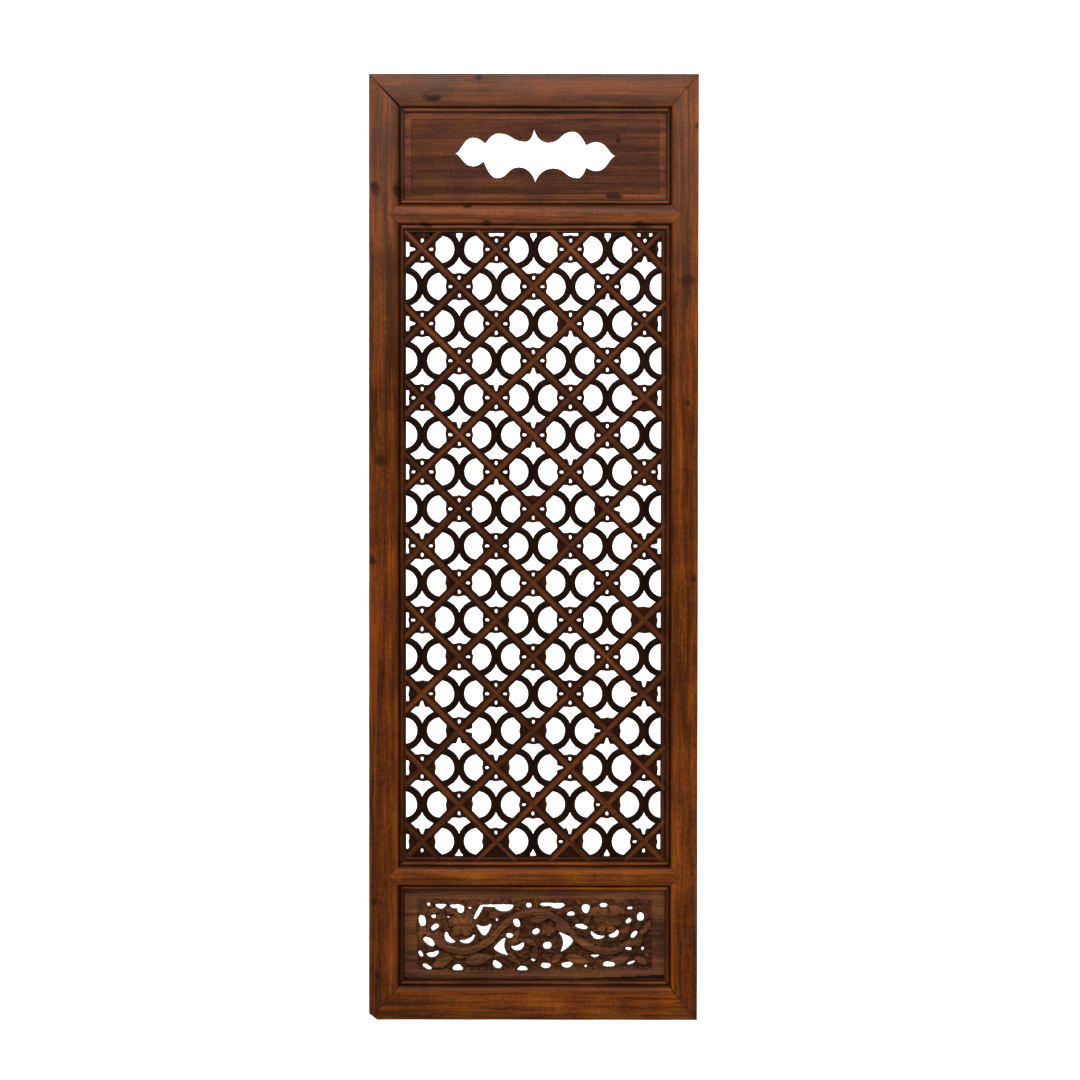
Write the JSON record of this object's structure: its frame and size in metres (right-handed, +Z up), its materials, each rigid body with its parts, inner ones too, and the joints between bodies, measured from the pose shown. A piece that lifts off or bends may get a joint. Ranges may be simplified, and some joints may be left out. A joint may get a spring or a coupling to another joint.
{
  "type": "carved lattice door panel",
  "caption": "Tall mitred wooden door panel with a pierced cartouche board, a diagonal lattice of bars and round arcs, and a pierced board carved with a scrolling vine.",
  "frame": {"origin": "middle of the top rail's flat back face, where the panel is fixed or hung", "axes": "+Z up along the stiles, +Y out of the back towards the wall, +X to the right seen from the front"},
  "size_m": [0.4596, 0.038, 1.3219],
  "materials": {
    "frame_wood": "old reddish brown oil finish, worn satin",
    "board_wood": "old dark oil finish, dull",
    "lattice_wood": "dark worn finish, dusty in the corners",
    "carved_wood": "dark carved surface, rubbed lighter on its high places"
  },
  "bodies": {
    "root": {"stile_left": "frame_wood", "stile_right": "frame_wood", "rail_top": "frame_wood", "rail_frieze": "frame_wood", "rail_lower": "frame_wood", "rail_bottom": "frame_wood", "frieze_board": "board_wood", "lattice": "lattice_wood", "carved_board": "carved_wood"}
  },
  "joints": []
}
